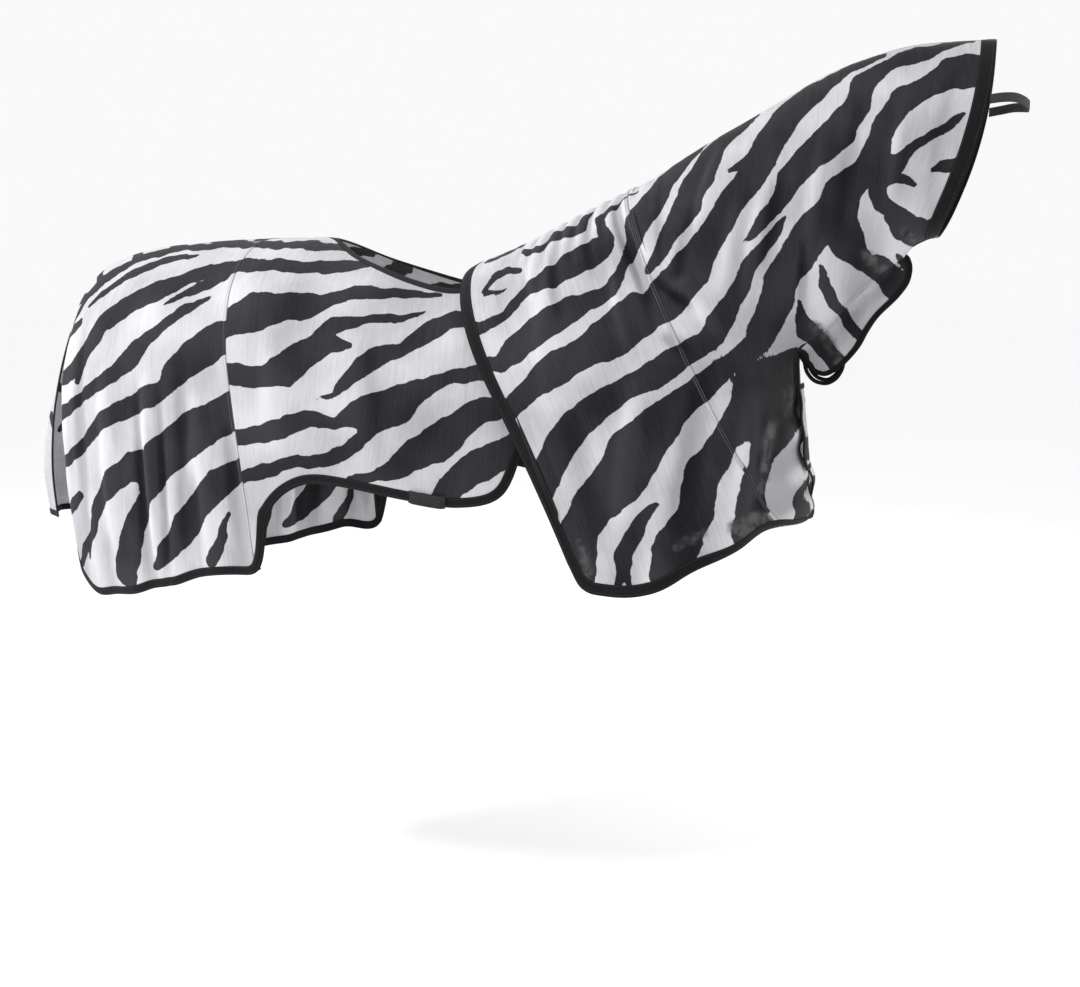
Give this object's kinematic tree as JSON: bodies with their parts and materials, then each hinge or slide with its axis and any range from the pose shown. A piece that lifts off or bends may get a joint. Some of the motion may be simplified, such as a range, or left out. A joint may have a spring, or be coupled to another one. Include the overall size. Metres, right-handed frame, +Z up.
{
  "type": "riding fly rug with neck cover",
  "caption": "Striped mesh riding fly rug for a horse: quarter sheet with a saddle cut-out and tail flap, and a neck-and-shoulder cover with a brow strap, in worn shape.",
  "frame": {"origin": "on the horse's back, on the midplane, just behind the withers under the overlap of cover and sheet", "axes": "+X the way the horse faces, +Y the horse's left, +Z up"},
  "size_m": [2.3499, 0.6958, 1.1986],
  "materials": {
    "striped_mesh": "fine matt polyester mesh, pale grey-white printed with charcoal stripes, slightly see-through",
    "edge_tape": "matt black folded woven tape with a stitch row",
    "webbing": "matt black doubled webbing, box stitched",
    "elastic": "black ribbed elastic",
    "hook_tape": "black hook tape, stiff, fine hooks",
    "loop_tape": "black loop tape, fuzzy"
  },
  "bodies": {
    "quarter_sheet": {"hind_panel_right": "striped_mesh", "hind_panel_left": "striped_mesh", "side_panel_right": "striped_mesh", "side_panel_left": "striped_mesh", "hip_seam_tape_right": "edge_tape", "hip_seam_tape_left": "edge_tape", "hem_tape_right": "edge_tape", "hem_tape_left": "edge_tape", "saddle_edge_tape_right": "edge_tape", "saddle_edge_tape_left": "edge_tape", "girth_loop_pad_right": "loop_tape", "girth_loop_pad_left": "loop_tape", "withers_hook_pad_right": "hook_tape", "withers_hook_pad_left": "hook_tape", "croup_seam_tape": "edge_tape"},
    "neck_cover": {"shoulder_panel_right": "striped_mesh", "shoulder_panel_left": "striped_mesh", "neck_panel_right": "striped_mesh", "neck_panel_left": "striped_mesh", "neck_seam_tape_right": "edge_tape", "neck_seam_tape_left": "edge_tape", "cover_edge_tape_right": "edge_tape", "cover_edge_tape_left": "edge_tape", "face_tape_right": "edge_tape", "face_tape_left": "edge_tape", "throat_edge_tape_right": "edge_tape", "throat_edge_tape_left": "edge_tape", "withers_loop_pad_right": "loop_tape", "withers_loop_pad_left": "loop_tape", "crest_seam_tape": "edge_tape", "brow_strap": "elastic", "chest_loop_strip": "loop_tape"},
    "throat_flap_right": {"throat_flap_right": "striped_mesh", "throat_flap_tape_right": "edge_tape", "throat_hook_strip": "hook_tape"},
    "throat_flap_left": {"throat_flap_left": "striped_mesh", "throat_flap_tape_left": "edge_tape", "throat_loop_strip": "loop_tape"},
    "chest_flap": {"chest_flap": "striped_mesh", "chest_flap_tape": "edge_tape", "chest_hook_strip": "hook_tape"},
    "girth_tab_right": {"girth_tab_right": "webbing", "girth_hook_pad_right": "hook_tape"},
    "girth_tab_left": {"girth_tab_left": "webbing", "girth_hook_pad_left": "hook_tape"},
    "tail_flap": {"tail_flap": "striped_mesh", "tail_flap_hem_tape": "edge_tape", "tail_flap_side_tape_right": "edge_tape", "tail_flap_side_tape_left": "edge_tape"}
  },
  "joints": [
    {"name": "cover_off", "type": "slide", "parent": "quarter_sheet", "child": "neck_cover", "axis": [0.8, 0, 0.6], "range_m": [0, 0.25]},
    {"name": "throat_flap_right_open", "type": "hinge", "parent": "neck_cover", "child": "throat_flap_right", "pos_m": [0.578, -0.0035, -0.239], "axis": [-0.7071, 0, -0.7071], "range_deg": [0, 70]},
    {"name": "throat_flap_left_open", "type": "hinge", "parent": "neck_cover", "child": "throat_flap_left", "pos_m": [0.578, 0.0035, -0.239], "axis": [0.7071, 0, 0.7071], "range_deg": [0, 70]},
    {"name": "chest_flap_open", "type": "hinge", "parent": "neck_cover", "child": "chest_flap", "pos_m": [0.6189, 0.0145, -0.5699], "axis": [-0.1111, 0, 0.9938], "range_deg": [0, 110]},
    {"name": "girth_tab_right_open", "type": "hinge", "parent": "quarter_sheet", "child": "girth_tab_right", "pos_m": [-0.1434, -0.338, -0.5391], "axis": [0.9882, 0.0551, -0.143], "range_deg": [0, 150]},
    {"name": "girth_tab_left_open", "type": "hinge", "parent": "quarter_sheet", "child": "girth_tab_left", "pos_m": [-0.1434, 0.338, -0.5391], "axis": [-0.9882, 0.0551, 0.143], "range_deg": [0, 150]},
    {"name": "tail_flap_lift", "type": "hinge", "parent": "quarter_sheet", "child": "tail_flap", "pos_m": [-1.205, 0, -0.148], "axis": [0, 1, 0], "range_deg": [0, 100]}
  ]
}
